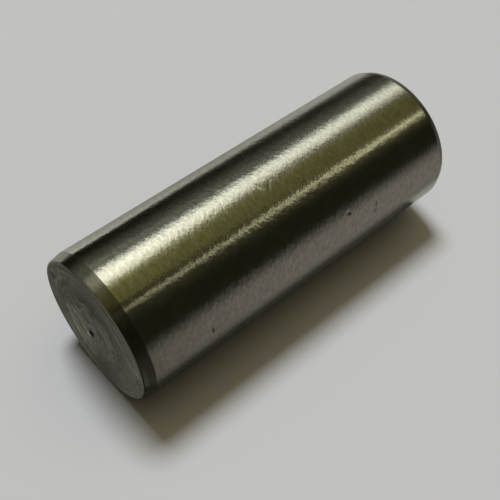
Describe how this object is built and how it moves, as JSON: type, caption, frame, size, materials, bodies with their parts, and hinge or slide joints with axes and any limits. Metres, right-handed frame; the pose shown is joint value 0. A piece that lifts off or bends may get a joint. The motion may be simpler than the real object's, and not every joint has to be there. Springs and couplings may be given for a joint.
{
  "type": "dowel pin",
  "caption": "Ground steel dowel pin with a short lead taper at its flat end and a shallow crown at the other, for locating two parts.",
  "frame": {"origin": "centre of the flat end face that the pin stands on", "axes": "+Z along the pin's axis, from the flat face with the lead taper to the crowned end; the pin is round, so X and Y are free"},
  "size_m": [0.012, 0.012, 0.032],
  "materials": {
    "ground_steel": "fine ground body, turned end face and tapers"
  },
  "bodies": {
    "root": {"dowel_pin": "ground_steel"}
  },
  "joints": []
}
